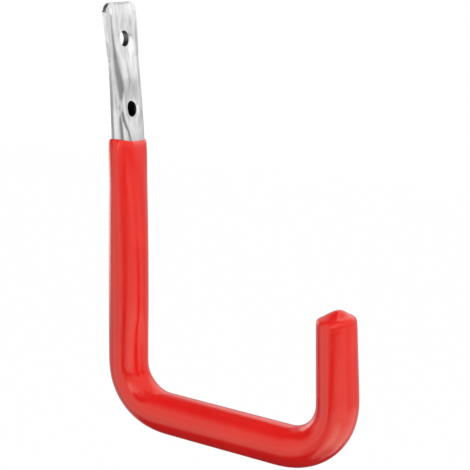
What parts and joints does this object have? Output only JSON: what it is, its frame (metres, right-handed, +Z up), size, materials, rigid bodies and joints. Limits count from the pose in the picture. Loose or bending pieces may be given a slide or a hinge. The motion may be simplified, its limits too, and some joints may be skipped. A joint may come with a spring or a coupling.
{
  "type": "wall hook",
  "caption": "Bent tubular wall hook with a flattened, drilled steel end and a soft red sleeve over the arm.",
  "frame": {"origin": "midway between the two screw holes, in the middle of the flat's thickness at the upper hole; the wall plane that the back of the coated leg touches is at y = 0.0061 m", "axes": "+Z up along the leg, +Y into the wall, -Y out along the arm, +X sideways along the wall"},
  "size_m": [0.0234, 0.125, 0.1979],
  "materials": {
    "zinc_steel": "bright zinc plate, satin, with faint press marks",
    "red_pvc": "soft gloss dipped PVC"
  },
  "bodies": {
    "root": {"steel_tube": "zinc_steel", "pvc_sleeve": "red_pvc"}
  },
  "joints": []
}
